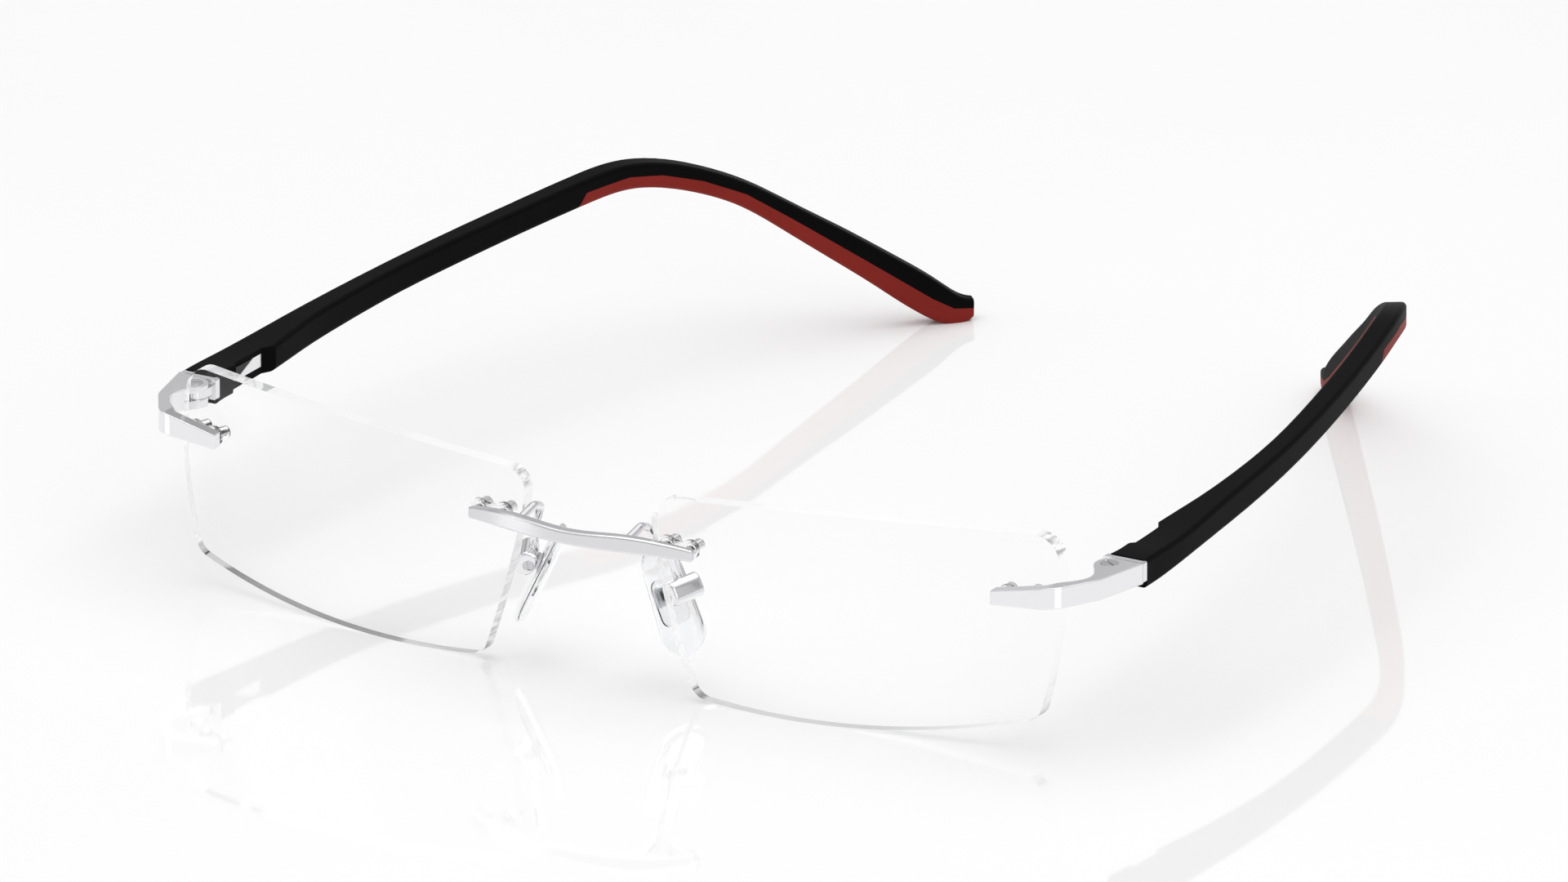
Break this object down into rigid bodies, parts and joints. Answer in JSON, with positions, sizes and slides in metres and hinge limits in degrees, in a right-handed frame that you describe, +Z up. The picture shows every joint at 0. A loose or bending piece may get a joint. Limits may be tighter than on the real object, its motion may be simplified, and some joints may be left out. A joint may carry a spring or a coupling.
{
  "type": "rimless eyeglasses",
  "caption": "Rimless eyeglasses with drilled lenses, a bowed metal bridge, screw-on nose pads and hinged black temples with red rubber grips, standing open.",
  "frame": {"origin": "on the table, under the middle of the open glasses' box", "axes": "+Z up, the front faces -Y, the temples run towards +Y, +X towards the wearer's left"},
  "size_m": [0.139, 0.1471, 0.0282],
  "materials": {
    "satin_steel": "satin",
    "polished_steel": "polished",
    "screw_steel": "turned",
    "pad_plate": "satin",
    "clear_lens": "clear, anti-reflection coated",
    "clear_bushing": "clear moulded",
    "matte_black": "matte soft coat",
    "red_rubber": "satin",
    "clear_silicone": "clear soft silicone"
  },
  "bodies": {
    "front": {"bridge": "satin_steel", "left_lens": "clear_lens", "right_lens": "clear_lens", "left_bridge_bushing": "clear_bushing", "right_bridge_bushing": "clear_bushing", "left_endpiece_bushing": "clear_bushing", "right_endpiece_bushing": "clear_bushing", "left_endpiece": "polished_steel", "right_endpiece": "polished_steel", "left_hinge_screw": "screw_steel", "right_hinge_screw": "screw_steel", "left_pad_arm": "polished_steel", "right_pad_arm": "polished_steel", "left_pad_box": "polished_steel", "right_pad_box": "polished_steel", "left_pad_screw": "screw_steel", "right_pad_screw": "screw_steel"},
    "left_temple": {"left_hinge_core": "polished_steel", "left_temple_arm": "matte_black", "left_temple_grip": "red_rubber"},
    "left_pad": {"left_pad_insert": "pad_plate", "left_nose_pad": "clear_silicone"},
    "right_temple": {"right_hinge_core": "polished_steel", "right_temple_arm": "matte_black", "right_temple_grip": "red_rubber"},
    "right_pad": {"right_pad_insert": "pad_plate", "right_nose_pad": "clear_silicone"}
  },
  "joints": [
    {"name": "left_temple_fold", "type": "hinge", "parent": "front", "child": "left_temple", "pos_m": [0.06575, -0.05193, 0.02165], "axis": [0, 0, 1], "range_deg": [0, 74]},
    {"name": "right_temple_fold", "type": "hinge", "parent": "front", "child": "right_temple", "pos_m": [-0.06575, -0.05193, 0.02165], "axis": [0, 0, -1], "range_deg": [0, 62]},
    {"name": "left_pad_rock", "type": "hinge", "parent": "front", "child": "left_pad", "pos_m": [0.01115, -0.06259, 0.0129], "axis": [0.4294, 0.8888, 0.1598], "range_deg": [-8, 8]},
    {"name": "right_pad_rock", "type": "hinge", "parent": "front", "child": "right_pad", "pos_m": [-0.01115, -0.06259, 0.0129], "axis": [0.4294, -0.8888, -0.1598], "range_deg": [-8, 8]}
  ]
}
